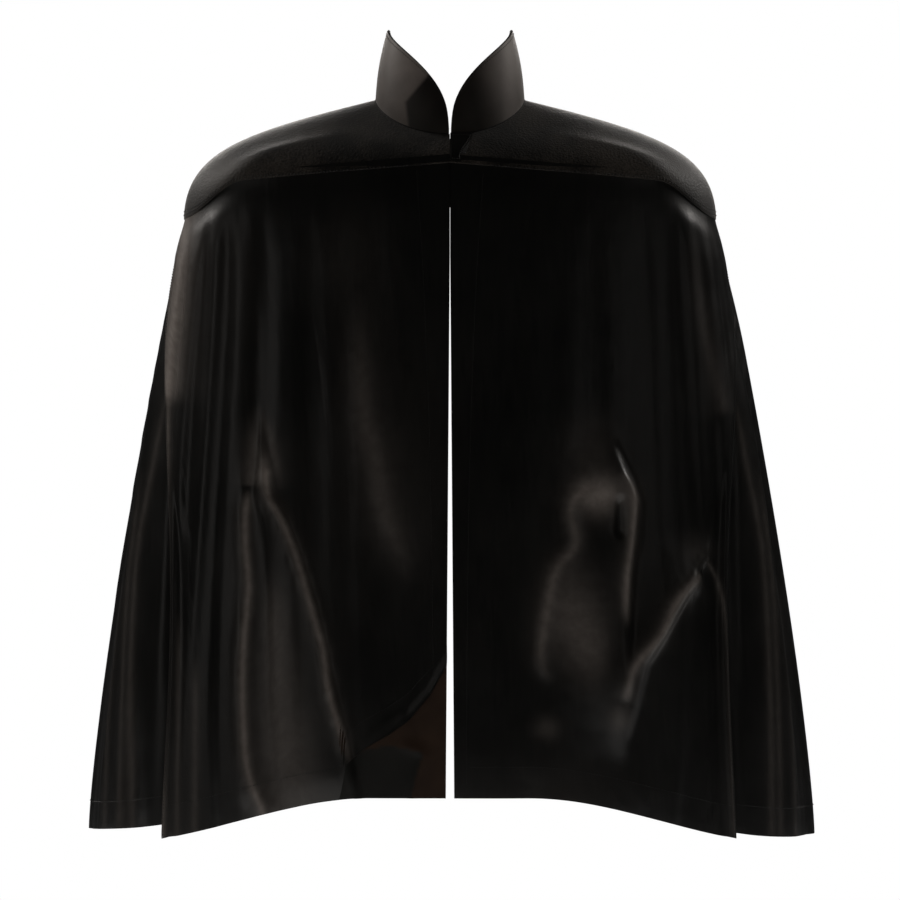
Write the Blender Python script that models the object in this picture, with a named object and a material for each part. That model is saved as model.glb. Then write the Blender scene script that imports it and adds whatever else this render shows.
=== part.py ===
"""Superhero cape: stiff winged stand collar, padded shoulder yoke, and four hanging panels.

Units are metres, +Z is up. The origin is the centre of the neck opening at the height of the
side neck point. The front faces -Y and the wearer's left is +X. The right half is built by the
same functions as the left half with the sign of X turned over.
"""
import math

import bpy
from mathutils import Vector

# ---- driving dimensions -------------------------------------------------------------------
NECK_HALF_WIDTH = 0.082
NECK_FRONT_DEPTH = 0.072
NECK_BACK_DEPTH = 0.070
NECK_FRONT_DROP = 0.043
NECK_BACK_DROP = 0.040
NECK_DROP_POWER = 1.2
YOKE_HALF_WIDTH = 0.292
YOKE_FRONT_DEPTH = 0.102
YOKE_BACK_DEPTH = 0.112
YOKE_FRONT_HEM_Z = -0.076
YOKE_SIDE_DROP = 0.033
YOKE_DROP_START = 0.225
YOKE_DROP_WIDTH = 0.066
YOKE_HEM_SLOPE = 0.08
YOKE_SQUARENESS = 0.6
HEM_HALF_WIDTH = 0.395
HEM_FRONT_DEPTH = 0.215
HEM_BACK_DEPTH = 0.250
HEM_FRONT_Z = -0.750
HEM_SIDE_Z = -0.806
HEM_BACK_Z = -0.772
HEM_DIP_START = 0.080
HEM_DIP_WIDTH = 0.300
HEM_SQUARENESS = 0.8

# The yoke's curve from neck to seam: two control points, each given at the front and at the side.
SHOULDER_REACH = (0.55, 0.667)
SHOULDER_RISE = (-0.012, -0.035)
SHOULDER_KNEE = (0.86, 0.99)
SHOULDER_LIFT = (0.014, 0.078)

COLLAR_TIP_Z = 0.077
COLLAR_FRONT_SWEEP = 0.38
COLLAR_BACK_SWEEP = 0.44
COLLAR_END_ANGLE = 0.012
COLLAR_SEAM_GAP = 0.0008
COLLAR_LEAST_HEIGHT = 0.006
COLLAR_LEAN = 0.16
COLLAR_BOW = 0.0025

# Cloths, and the clearance between touching layers.
SHELL = 0.0012
TAPE = 0.0010
LINING = 0.0008
YOKE_CLOTH = 0.0016
PAD_THICKNESS = 0.009
COLLAR_CLOTH = 0.0012
COLLAR_CORE = 0.0010
GAP = 0.0004

WEIGHT_RADIUS = 0.0095
WEIGHT_THICKNESS = 0.0016
WEIGHT_SIDES = 16
TAB_LENGTH = 0.030
TAB_THICKNESS = 0.0014
TAB_CLEARANCE = 0.0008
TAB_ROUNDNESS = 2.4
TAB_CUT_SHORT = 0.95
TAB_SPAN = (0.07, 0.92)
PATCH = 0.0006

# FLARE above 1 makes the panels spread quickly below the yoke. TUCK is how far a back panel's
# side edge lies inside the front panel, which it passes over OVERLAP_DEG on each side of the slit.
FLARE = 1.32
TUCK = 0.014
TUCK_AT_SEAM = 0.45
TUCK_FULL_AT = 0.4
SEAM_GAP = 0.004
FRONT_GAP_START = 0.15
FRONT_GAP = 0.0008
HEM_GAP = 0.0058
VENT_TOP_GAP = 0.0050
VENT_HEM_GAP = 0.0100

# The panels swing about level lines just above their seams. A back panel's line runs along X. A
# front panel's turns back by 18 degrees towards the side, so its slit edge swings outwards.
FRONT_PIVOT_Y = -0.102
FRONT_PIVOT_Z = -0.068
BACK_PIVOT_Y = 0.112
BACK_PIVOT_Z = -0.070

# The tab's hinge line lies in front of the yoke's middle, so the open tab clears the other side.
TAB_PIVOT = (0.0, -0.0923, -0.0544)

# Angles run round the body from the centre front (0) over the side (90) to the centre back (180).
FRONT_EDGE_TOP_DEG = 100.0
FRONT_EDGE_HEM_DEG = 46.5
FRONT_EDGE_SWEEP = 3.0
OVERLAP_DEG = 15.0

SHARP_DEG = 40.0
FRONT_ANGLE_LIMIT = math.pi / 3
FRONT_ANGLE_STEPS = 30
NORMAL_STEP = 0.001
SIDES = {"left": 1.0, "right": -1.0}


# ---- small helpers ------------------------------------------------------------------------
def clear_scene():
    for item in list(bpy.data.objects):
        bpy.data.objects.remove(item, do_unlink=True)


def material(name, color, roughness, metallic=0.0):
    made = bpy.data.materials.get(name)
    if made:
        return made
    made = bpy.data.materials.new(name)
    made.use_nodes = True
    shader = made.node_tree.nodes["Principled BSDF"]
    shader.inputs["Base Color"].default_value = (*color, 1.0)
    shader.inputs["Roughness"].default_value = roughness
    shader.inputs["Metallic"].default_value = metallic
    return made


def lerp(a, b, t):
    return a + (b - a) * t


def smoothstep(t):
    t = min(1.0, max(0.0, t))
    return t * t * (3.0 - 2.0 * t)


def signed_power(value, exponent):
    return math.copysign(abs(value) ** exponent, value)


def bezier(points, t):
    a, b, c, d = points
    s = 1.0 - t
    return a * s**3 + b * (3 * s * s * t) + c * (3 * s * t * t) + d * t**3


def grid_of(surface, us, vs):
    """Rows of (point, inward normal) pairs, sampled at the chosen u and v values."""
    rows = []
    for v in vs:
        row = []
        for u in us:
            u0, u1 = max(0.0, u - NORMAL_STEP), min(1.0, u + NORMAL_STEP)
            v0, v1 = max(0.0, v - NORMAL_STEP), min(1.0, v + NORMAL_STEP)
            across = surface(u1, v) - surface(u0, v)
            down = surface(u, v1) - surface(u, v0)
            row.append((surface(u, v), across.cross(down).normalized()))
        rows.append(row)
    return rows


def cut(grid, cols, rows):
    """The part of a grid between two columns and two rows, both counted from 0."""
    return [row[cols[0]:cols[1] + 1] for row in grid[rows[0]:rows[1] + 1]]


def layer(name, grid, depth, thickness, mat, sign, parent=None):
    """A closed sheet of cloth whose outside lies depth inside the grid's surface."""
    tall, wide = len(grid), len(grid[0])
    points, faces = [], []
    for level in (depth, depth + thickness):
        for row in grid:
            for point, normal in row:
                moved = point + normal * level
                points.append(Vector((moved.x * sign, moved.y, moved.z)))
    back = tall * wide

    def quad(a, b, c, d):
        faces.append((a, b, c))
        faces.append((a, c, d))

    for row in range(tall - 1):
        for col in range(wide - 1):
            a = row * wide + col
            b, c, d = a + 1, a + 1 + wide, a + wide
            faces.extend(((a, d, b), (b, d, c)))
            faces.extend(((back + a, back + b, back + d), (back + b, back + c, back + d)))
    for col in range(wide - 1):
        top, low = col, (tall - 1) * wide + col
        quad(top, top + 1, back + top + 1, back + top)
        quad(low + 1, low, back + low, back + low + 1)
    for row in range(tall - 1):
        near, far = row * wide, row * wide + wide - 1
        quad(near + wide, near, back + near, back + near + wide)
        quad(far, far + wide, back + far + wide, back + far)
    return add_mesh(name, points, faces, mat, parent)


def spread(first, last, count):
    """count + 1 evenly spaced values."""
    return [lerp(first, last, i / count) for i in range(count + 1)]


def add_mesh(name, points, faces, mat, parent):
    """Adds the object with its origin on its parent's, and turns its faces outwards."""
    origin = parent.location if parent else Vector((0, 0, 0))
    mesh = bpy.data.meshes.new(name)
    mesh.from_pydata([Vector(p) - origin for p in points], [], faces)
    mesh.update()
    if mesh_volume(mesh) < 0:
        mesh.flip_normals()
    mesh.materials.append(mat)
    mesh.shade_smooth()
    mesh.set_sharp_from_angle(angle=math.radians(SHARP_DEG))
    made = bpy.data.objects.new(name, mesh)
    bpy.context.collection.objects.link(made)
    made.parent = parent
    return made


def mesh_volume(mesh):
    total = 0.0
    for face in mesh.polygons:
        corners = [mesh.vertices[i].co for i in face.vertices]
        for i in range(1, len(corners) - 1):
            total += corners[0].dot(corners[i].cross(corners[i + 1]))
    return total / 6.0


def pivot(name, place):
    """An empty on a joint's axis, which the moving pieces hang from."""
    made = bpy.data.objects.new(name, None)
    made.location = place
    bpy.context.collection.objects.link(made)
    return made


# ---- the cape's surface -------------------------------------------------------------------
def neck_point(angle):
    """The seam where the collar is sewn to the yoke."""
    s, c = math.sin(angle), math.cos(angle)
    depth = NECK_FRONT_DEPTH if c > 0 else NECK_BACK_DEPTH
    drop = NECK_FRONT_DROP if c > 0 else NECK_BACK_DROP
    return Vector((NECK_HALF_WIDTH * s, -depth * c, -drop * abs(c) ** NECK_DROP_POWER))


def yoke_edge(angle):
    """The lower seam of the yoke, where the panels are sewn on."""
    s, c = math.sin(angle), math.cos(angle)
    depth = YOKE_FRONT_DEPTH if c > 0 else YOKE_BACK_DEPTH
    x = YOKE_HALF_WIDTH * signed_power(s, YOKE_SQUARENESS)
    bend = smoothstep((abs(x) - YOKE_DROP_START) / YOKE_DROP_WIDTH)
    drop = YOKE_HEM_SLOPE * abs(x) + YOKE_SIDE_DROP * bend
    return Vector((x, -depth * signed_power(c, YOKE_SQUARENESS), YOKE_FRONT_HEM_Z - drop))


def hem_point(angle):
    s, c = math.sin(angle), math.cos(angle)
    depth = HEM_FRONT_DEPTH if c > 0 else HEM_BACK_DEPTH
    middle_z = HEM_FRONT_Z if c > 0 else HEM_BACK_Z
    x = HEM_HALF_WIDTH * signed_power(s, HEM_SQUARENESS)
    z = lerp(middle_z, HEM_SIDE_Z, smoothstep((abs(x) - HEM_DIP_START) / HEM_DIP_WIDTH))
    return Vector((x, -depth * signed_power(c, HEM_SQUARENESS), z))


def drape(angle, t):
    """A point of the hanging cloth: t is 0 at the yoke's seam and 1 at the hem."""
    top, hem = yoke_edge(angle), hem_point(angle)
    flat = top.lerp(hem, 1.0 - (1.0 - t) ** FLARE)
    return Vector((flat.x, flat.y, lerp(top.z, hem.z, t)))


def shoulder(angle, t):
    """A point of the yoke's outer surface: t is 0 at the neck and 1 at the lower seam."""
    top, low = neck_point(angle), yoke_edge(angle)
    out = Vector((low.x - top.x, low.y - top.y, 0))
    side = math.sin(angle) ** 2
    first = top + out * lerp(*SHOULDER_REACH, side)
    first.z += lerp(*SHOULDER_RISE, side)
    second = top + out * lerp(*SHOULDER_KNEE, side)
    second.z = low.z + lerp(*SHOULDER_LIFT, side)
    return bezier((top, first, second, low), t)


# ---- yoke and shoulder pads ---------------------------------------------------------------
YOKE_COLUMNS = [0.0] + spread(0.03, 0.97, 18) + [1.0]
YOKE_ROWS = [0.0, 0.10] + spread(0.24, 0.93, 5) + [0.955, 0.985, 1.0]
PAD_COLUMNS = (6, 14)


def yoke_surface(u, v):
    point = shoulder(math.pi * u, v)
    gap = FRONT_GAP if u < 0.5 else VENT_TOP_GAP
    point.x += gap * abs(1.0 - 2.0 * u) ** 6
    return point


def build_yoke(label, sign):
    leather = material("yoke_suede", (0.022, 0.020, 0.018), 0.62)
    satin = material("lining_satin", (0.012, 0.010, 0.008), 0.35)
    foam = material("pad_felt", (0.05, 0.05, 0.05), 0.9)
    tape = material("seam_tape", (0.015, 0.014, 0.013), 0.5)
    grid = grid_of(yoke_surface, YOKE_COLUMNS, YOKE_ROWS)
    last = len(YOKE_ROWS) - 1
    inner_columns = (1, len(YOKE_COLUMNS) - 2)
    layer(f"{label}_yoke", grid, 0.0, YOKE_CLOTH, leather, sign)
    depth = YOKE_CLOTH + GAP
    pad = cut(grid, PAD_COLUMNS, (2, last - 3))
    layer(f"{label}_shoulder_pad", pad, depth, PAD_THICKNESS, foam, sign)
    lining = cut(grid, inner_columns, (1, last - 3))
    layer(f"{label}_yoke_lining", lining, depth + PAD_THICKNESS + GAP, LINING, satin, sign)
    seam = cut(grid, inner_columns, (last - 2, last - 1))
    layer(f"{label}_yoke_seam_tape", seam, depth, TAPE, tape, sign)


# ---- collar -------------------------------------------------------------------------------
COLLAR_COLUMNS = [0.0] + spread(0.06, 0.94, 12) + [1.0]
COLLAR_ROWS = [0.0, 0.08, 0.36, 0.66, 0.93, 1.0]


def collar_top(u):
    """Height and half-width of the wing's top edge, u from centre front (0) to centre back (1)."""
    from_middle = 1.0 - abs(2.0 * u - 1.0)
    low = -NECK_FRONT_DROP if u < 0.5 else -NECK_BACK_DROP
    sweep = COLLAR_FRONT_SWEEP if u < 0.5 else COLLAR_BACK_SWEEP
    return low + (COLLAR_TIP_Z - low) * from_middle ** sweep


def collar_surface(u, v):
    """v is 0 at the top edge and 1 at the neck seam."""
    angle = lerp(COLLAR_END_ANGLE, math.pi - COLLAR_END_ANGLE, u)
    base = neck_point(angle) + Vector((0, 0, COLLAR_SEAM_GAP))
    top_z = max(collar_top(u), base.z + COLLAR_LEAST_HEIGHT)
    height = top_z - base.z
    tallness = height / COLLAR_TIP_Z
    lean = 1.0 - COLLAR_LEAN * tallness
    top = Vector((base.x * lean, base.y * lean, top_z))
    bow = COLLAR_BOW * math.sin(math.pi * v) * tallness
    out = Vector((base.x, base.y, 0)).normalized()
    return top.lerp(base, v) + out * bow


def build_collar(label, sign):
    outer = material("collar_cloth", (0.035, 0.031, 0.029), 0.45)
    core = material("collar_board", (0.09, 0.09, 0.09), 0.7)
    facing = material("collar_facing", (0.012, 0.010, 0.009), 0.4)
    grid = grid_of(collar_surface, COLLAR_COLUMNS, COLLAR_ROWS)
    core_part = cut(grid, (1, len(COLLAR_COLUMNS) - 2), (1, len(COLLAR_ROWS) - 2))
    layer(f"{label}_collar_outer", grid, 0.0, COLLAR_CLOTH, outer, sign)
    depth = COLLAR_CLOTH + GAP
    layer(f"{label}_collar_stiffener", core_part, depth, COLLAR_CORE, core, sign)
    inside = depth + COLLAR_CORE + GAP
    layer(f"{label}_collar_facing", grid, inside, COLLAR_CLOTH, facing, sign)


# ---- panels -------------------------------------------------------------------------------
# Columns counted from the free centre edge, whose facing takes the second strip.
PANEL_COLUMNS = [0.0, 0.012, 0.085] + spread(0.10, 0.985, 10) + [1.0]
PANEL_ROWS = [0.0, 0.02] + spread(0.10, 0.94, 8) + [0.955, 0.99, 1.0]


def front_edge_angle(t):
    """Where the front panel's free edge lies: behind the side at the top, in front at the hem."""
    fall = 1.0 - (1.0 - t) ** FRONT_EDGE_SWEEP
    return math.radians(lerp(FRONT_EDGE_TOP_DEG, FRONT_EDGE_HEM_DEG, fall))


def front_surface(u, v):
    angle = lerp(0.0, front_edge_angle(v), u)
    point = drape(angle, lerp(SEAM_GAP, 1.0, v))
    below = max(0.0, (v - FRONT_GAP_START) / (1.0 - FRONT_GAP_START))
    opening = lerp(FRONT_GAP, HEM_GAP, below)
    point.x += opening * (1.0 - u) ** 2
    return point


def back_surface(u, v):
    """The back panel, which passes inside the front panel along the arm slit."""
    overlap = math.radians(OVERLAP_DEG)
    start = front_edge_angle(v) - overlap
    angle = lerp(start, math.pi, u)
    point = drape(angle, lerp(SEAM_GAP, 1.0, v))
    past_edge = smoothstep((angle - start) / (2.0 * overlap))
    tuck = TUCK * lerp(TUCK_AT_SEAM, 1.0, smoothstep(v / TUCK_FULL_AT)) * (1.0 - past_edge)
    out = Vector((point.x, point.y * (HEM_HALF_WIDTH / HEM_FRONT_DEPTH) ** 2, 0)).normalized()
    point -= out * tuck
    opening = lerp(VENT_TOP_GAP, VENT_HEM_GAP, v)
    point.x += opening * u ** 6
    return point


def build_panel(name, surface, sign, parent, free_edge_first):
    """Shell, lining, the facing along the centre edge, the hem band and a hem weight."""
    cloth = material("panel_satin", (0.006, 0.006, 0.006), 0.16)
    satin = material("lining_satin", (0.012, 0.010, 0.008), 0.35)
    tape = material("seam_tape", (0.015, 0.014, 0.013), 0.5)
    lead = material("weight_metal", (0.45, 0.45, 0.46), 0.5, 0.9)
    us = PANEL_COLUMNS
    if not free_edge_first:
        us = [1.0 - u for u in reversed(us)]
    grid = grid_of(surface, us, PANEL_ROWS)
    last_col, last_row = len(us) - 1, len(PANEL_ROWS) - 1
    facing_cols, lining_cols = (1, 2), (3, last_col - 1)
    if not free_edge_first:
        facing_cols, lining_cols = (last_col - 2, last_col - 1), (1, last_col - 3)
    depth = SHELL + GAP
    cloth_rows = (1, last_row - 3)
    hem = cut(grid, (1, last_col - 1), (last_row - 2, last_row - 1))
    layer(f"{name}_shell", grid, 0.0, SHELL, cloth, sign, parent)
    layer(f"{name}_lining", cut(grid, lining_cols, cloth_rows), depth, LINING, satin, sign, parent)
    layer(f"{name}_edge_facing", cut(grid, facing_cols, cloth_rows), depth, TAPE, tape, sign, parent)
    layer(f"{name}_hem_band", hem, depth, TAPE, tape, sign, parent)
    build_weight(name, hem, depth + TAPE + GAP, sign, parent, lead)


def build_weight(name, hem, depth, sign, parent, mat):
    """A flat round drapery weight sewn inside the hem band."""
    middle = len(hem[0]) // 2
    corners = [hem[row][col] for row in (0, 1) for col in (middle, middle + 1)]
    place = sum((point for point, _ in corners), Vector()) / 4
    normal = sum((normal for _, normal in corners), Vector()).normalized()
    place = place + normal * (depth + WEIGHT_THICKNESS / 2)
    along = normal.cross(Vector((0, 0, 1))).normalized()
    up = along.cross(normal)
    points = []
    for side in (-1, 1):
        for i in range(WEIGHT_SIDES):
            turn = 2 * math.pi * i / WEIGHT_SIDES
            rim = along * math.cos(turn) + up * math.sin(turn)
            point = place + rim * WEIGHT_RADIUS + normal * side * WEIGHT_THICKNESS / 2
            points.append(Vector((point.x * sign, point.y, point.z)))
    faces = [tuple(range(WEIGHT_SIDES)), tuple(range(2 * WEIGHT_SIDES - 1, WEIGHT_SIDES - 1, -1))]
    for i in range(WEIGHT_SIDES):
        j = (i + 1) % WEIGHT_SIDES
        faces.append((j, i, WEIGHT_SIDES + i, WEIGHT_SIDES + j))
    add_mesh(f"{name}_hem_weight", points, faces, mat, parent)


# ---- neck tab -----------------------------------------------------------------------------
def tab_surface(u, v):
    """The yoke's surface under the tab, whose outline is a quarter of an oval."""
    reach = TAB_LENGTH * (1.0 - (TAB_CUT_SHORT * v) ** TAB_ROUNDNESS) ** (1.0 / TAB_ROUNDNESS)
    x = lerp(FRONT_GAP, reach, u)
    return shoulder(front_angle(x, lerp(*TAB_SPAN, v)), lerp(*TAB_SPAN, v))


def front_angle(x, t):
    """The angle at which the yoke's surface has this distance from the centre plane."""
    low, high = 0.0, FRONT_ANGLE_LIMIT
    for _ in range(FRONT_ANGLE_STEPS):
        middle = (low + high) / 2
        if shoulder(middle, t).x < x:
            low = middle
        else:
            high = middle
    return (low + high) / 2


def build_neck_tab(parent):
    satin = material("panel_satin", (0.006, 0.006, 0.006), 0.16)
    hooks = material("hook_tape", (0.012, 0.012, 0.012), 0.85)
    grid = grid_of(tab_surface, [0.0] + spread(0.25, 0.9, 3) + [1.0], spread(0.0, 1.0, 4))
    pads = cut(grid, (1, 3), (1, 3))
    loop_top = TAB_CLEARANCE + PATCH
    hook_top = loop_top + GAP + PATCH
    layer("neck_tab_loop_patch", pads, -loop_top, PATCH, hooks, 1.0)
    layer("neck_tab_hook_patch", pads, -hook_top, PATCH, hooks, 1.0, parent)
    lift = hook_top + GAP
    layer("neck_tab", grid, -(lift + TAB_THICKNESS), TAB_THICKNESS, satin, 1.0, parent)


def main():
    clear_scene()
    for label, sign in SIDES.items():
        build_yoke(label, sign)
        build_collar(label, sign)
        front = pivot(f"front_{label}_pivot", Vector((0, FRONT_PIVOT_Y, FRONT_PIVOT_Z)))
        build_panel(f"front_{label}", front_surface, sign, front, True)
        back = pivot(f"back_{label}_pivot", Vector((0, BACK_PIVOT_Y, BACK_PIVOT_Z)))
        build_panel(f"back_{label}", back_surface, sign, back, False)
    build_neck_tab(pivot("neck_tab_pivot", Vector(TAB_PIVOT)))


main()
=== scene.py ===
"""The looks of the superhero cape: cloth, grain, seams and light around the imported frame.

Everything is in metres in the row's frame: +Z up, the wearer's front faces -Y, and the wearer's
left is +X. Cloth is made on grids: rows run down the cloth and columns run across it.
"""
import math

import bpy
import numpy as np
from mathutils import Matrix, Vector


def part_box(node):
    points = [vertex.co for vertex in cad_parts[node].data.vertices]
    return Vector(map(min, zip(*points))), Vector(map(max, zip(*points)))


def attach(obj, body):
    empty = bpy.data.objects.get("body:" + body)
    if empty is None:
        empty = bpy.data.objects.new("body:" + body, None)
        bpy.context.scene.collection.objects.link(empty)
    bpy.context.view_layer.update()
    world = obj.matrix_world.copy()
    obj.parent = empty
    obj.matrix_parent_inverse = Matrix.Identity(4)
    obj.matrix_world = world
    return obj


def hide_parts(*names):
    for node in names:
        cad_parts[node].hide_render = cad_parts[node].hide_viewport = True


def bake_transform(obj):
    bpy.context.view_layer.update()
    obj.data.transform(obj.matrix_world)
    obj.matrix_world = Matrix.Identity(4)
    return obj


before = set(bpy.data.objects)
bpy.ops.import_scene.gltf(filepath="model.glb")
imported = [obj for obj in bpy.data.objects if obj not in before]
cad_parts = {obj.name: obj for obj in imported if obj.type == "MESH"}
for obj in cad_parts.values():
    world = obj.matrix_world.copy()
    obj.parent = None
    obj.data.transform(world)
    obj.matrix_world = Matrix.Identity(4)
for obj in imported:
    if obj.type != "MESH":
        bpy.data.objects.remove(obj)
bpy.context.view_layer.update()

# ---- sizes read from the frame ----
YOKE_LOW, YOKE_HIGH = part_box("left_yoke")
BACK_LOW, BACK_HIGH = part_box("back_left_shell")

YOKE_HALF_WIDTH = YOKE_HIGH[0]
YOKE_FRONT_DEPTH = -YOKE_LOW[1]
YOKE_BACK_DEPTH = YOKE_HIGH[1]
COLLAR_TIP_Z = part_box("left_collar_outer")[1][2]
HEM_HALF_WIDTH = BACK_HIGH[0]
HEM_FRONT_DEPTH = -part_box("front_left_shell")[0][1]
HEM_BACK_DEPTH = BACK_HIGH[1]
HEM_SIDE_Z = BACK_LOW[2]

# ---- sizes of the cut ----
NECK_HALF_WIDTH = 0.082
NECK_FRONT_DEPTH = 0.072
NECK_BACK_DEPTH = 0.070
NECK_FRONT_DROP = 0.043
NECK_BACK_DROP = 0.040
YOKE_HEM_Z = -0.076
YOKE_SIDE_DROP = 0.033
HEM_FRONT_Z = -0.750
HEM_BACK_Z = -0.772
FRONT_GAP = 0.0002
HEM_GAP = 0.0044
VENT_TOP_GAP = 0.0050
VENT_HEM_GAP = 0.0100
TUCK = 0.014
OVERLAP = math.radians(15.0)
SLIT_TOP = math.radians(100.0)
SLIT_HEM = math.radians(46.5)
SHELL = 0.0009
LINING = 0.0006
YOKE_CLOTH = 0.0009
COLLAR_CLOTH = 0.0011
BOARD = 0.0008
CORE_SPACE = 0.0012
TAPE_CLOTH = 0.0008
TAB_CLOTH = 0.0006
TAB_LIFT = 0.0038
TAB_CROWN = 0.0004
PLACKET_CLOTH = 0.0010
PLACKET_DEPTH = 0.0052
PIPING_RADIUS = 0.0010
NECK_ROLL_RADIUS = 0.0009
PAD_RIM = 0.0012
PAD_CROWN = 0.0070
PAD_DEPTH = 0.0095
LAYER_GAP = 0.0006
PROUD = 0.0001
LINING_SLACK = 0.0012
FLARE = 1.32
ABOVE_SEAM = -0.014
UNDER_YOKE = 0.0012

# Points across and down each piece's grid.
FRONT_GRID, BACK_GRID, YOKE_GRID = (170, 230), (170, 200), (220, 110)
COLLAR_GRID, TAB_GRID = (150, 46), (40, 36)

# ---- simulation ----
SIM_ROWS, SIM_COLS, SIM_FRAMES = 72, 52, 24
SIM_REACH = 0.0035
SPARE_CLOTH = 0.03
# The share of the buckling that is used: near the centre, and at the side.
BUCKLING = {"front_left": (0.14, 0.6), "front_right": (0.40, 0.9), "back": (1.0, 1.0)}


# ---- numbers and curves ----
def lerp(a, b, t):
    return a + (b - a) * t


def smoothstep(t):
    t = np.clip(t, 0.0, 1.0)
    return t * t * (3.0 - 2.0 * t)


def signed_power(value, exponent):
    return np.sign(value) * np.abs(value) ** exponent


def stack(x, y, z):
    return np.stack(np.broadcast_arrays(x, y, z), axis=-1)


def neck_point(angle):
    s, c = np.sin(angle), np.cos(angle)
    depth = np.where(c > 0, NECK_FRONT_DEPTH, NECK_BACK_DEPTH)
    drop = np.where(c > 0, NECK_FRONT_DROP, NECK_BACK_DROP)
    return stack(NECK_HALF_WIDTH * s, -depth * c, -drop * np.abs(c) ** 1.2)


def yoke_edge(angle):
    s, c = np.sin(angle), np.cos(angle)
    depth = np.where(c > 0, YOKE_FRONT_DEPTH, YOKE_BACK_DEPTH)
    x = YOKE_HALF_WIDTH * signed_power(s, 0.6)
    drop = 0.08 * np.abs(x) + YOKE_SIDE_DROP * smoothstep((np.abs(x) - 0.225) / 0.066)
    return stack(x, -depth * signed_power(c, 0.6), YOKE_HEM_Z - drop)


def hem_point(angle):
    s, c = np.sin(angle), np.cos(angle)
    depth = np.where(c > 0, HEM_FRONT_DEPTH, HEM_BACK_DEPTH)
    middle_z = np.where(c > 0, HEM_FRONT_Z, HEM_BACK_Z)
    x = HEM_HALF_WIDTH * signed_power(s, 0.8)
    z = lerp(middle_z, HEM_SIDE_Z, smoothstep((np.abs(x) - 0.08) / 0.30))
    return stack(x, -depth * signed_power(c, 0.8), z)


def drape(angle, t):
    """A point of the hanging cloth: t is 0 at the yoke's seam and 1 at the hem."""
    top, hem = yoke_edge(angle), hem_point(angle)
    spread = np.where(t > 0, 1.0 - (1.0 - np.clip(t, 0, 1)) ** FLARE, FLARE * t)[..., None]
    flat = lerp(top, hem, spread)
    flat[..., 2] = lerp(top[..., 2], hem[..., 2], t)
    return flat


def shoulder(angle, t):
    """A point of the yoke: t is 0 at the neck and 1 at the lower seam."""
    top, low = neck_point(angle), yoke_edge(angle)
    side = np.sin(angle) ** 2
    out = low - top
    out[..., 2] = 0.0
    first = top + out * lerp(0.55, 0.667, side)[..., None]
    first[..., 2] += lerp(-0.012, -0.035, side)
    second = top + out * lerp(0.86, 0.99, side)[..., None]
    second[..., 2] = lerp(low[..., 2] + 0.010, low[..., 2] + 0.078, side)
    t = t[..., None]
    s = 1.0 - t
    return top * s**3 + first * 3 * s * s * t + second * 3 * s * t * t + low * t**3


def slit_angle(t):
    return lerp(SLIT_TOP, SLIT_HEM, 1.0 - (1.0 - t) ** 3)


def grid(cols, rows):
    return np.meshgrid(np.linspace(0.0, 1.0, cols), np.linspace(0.0, 1.0, rows))


def outward(points):
    """Unit normals of a grid of points, away from the wearer."""
    across = np.gradient(points, axis=1)
    down = np.gradient(points, axis=0)
    normal = np.cross(down, across)
    return normal / np.maximum(np.linalg.norm(normal, axis=-1, keepdims=True), 1e-12)


def smooth_path(path, count=28):
    """A Catmull-Rom curve through a few given points."""
    knots = np.array([path[0], *path, path[-1]], float)
    spots = np.linspace(0, len(path) - 1, count)
    made = []
    for spot in spots:
        i = min(int(spot), len(path) - 2)
        t = spot - i
        a, b, c, d = knots[i:i + 4]
        made.append(0.5 * (2 * b + (c - a) * t + (2 * a - 5 * b + 4 * c - d) * t * t
                           + (3 * b - a - 3 * c + d) * t**3))
    return np.array(made)


def fold(x, z, path, height, left, right, fade=(0.18, 0.18)):
    """A crest along a path seen from the front, with its own width on each side."""
    line = smooth_path(path)
    best = np.full(x.shape, np.inf)
    side = np.zeros(x.shape)
    along = np.zeros(x.shape)
    steps = len(line) - 1
    for i in range(steps):
        ax, az = line[i]
        dx, dz = line[i + 1] - line[i]
        t = np.clip(((x - ax) * dx + (z - az) * dz) / (dx * dx + dz * dz + 1e-12), 0, 1)
        gap = np.hypot(x - ax - t * dx, z - az - t * dz)
        nearer = gap < best
        best = np.where(nearer, gap, best)
        side = np.where(nearer, (x - ax) * dz - (z - az) * dx, side)
        along = np.where(nearer, (i + t) / steps, along)
    width = np.where(side > 0, left, right)
    ends = smoothstep(along / max(fade[0], 1e-6)) * smoothstep((1 - along) / max(fade[1], 1e-6))
    return height * ends / (1.0 + (best / width) ** 2) ** 1.3


def x_at(line, z):
    """The x of a line that runs down the cloth, at each height."""
    return np.interp(-z, [-point[1] for point in line], [point[0] for point in line])


def slope(x, z, left_line, right_line, height, drop, ends):
    """Cloth pulled up between two lines that run down it, seen from the front."""
    left, right = x_at(left_line, z), x_at(right_line, z)
    top, bottom = left_line[0][1], left_line[-1][1]
    rise = smoothstep((x - left) / np.maximum(right - left, 0.004))
    fall = 1.0 - smoothstep((x - right + 0.25 * drop) / drop)
    near = smoothstep((top - z + 0.4 * ends[0]) / ends[0])
    far = smoothstep((-bottom + 0.4 * ends[1] + z) / ends[1])
    return height * rise * fall * near * far


def swell(x, z, middle, size, height):
    return height * np.exp(-((x - middle[0]) / size[0]) ** 2 - ((z - middle[1]) / size[1]) ** 2)


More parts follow.
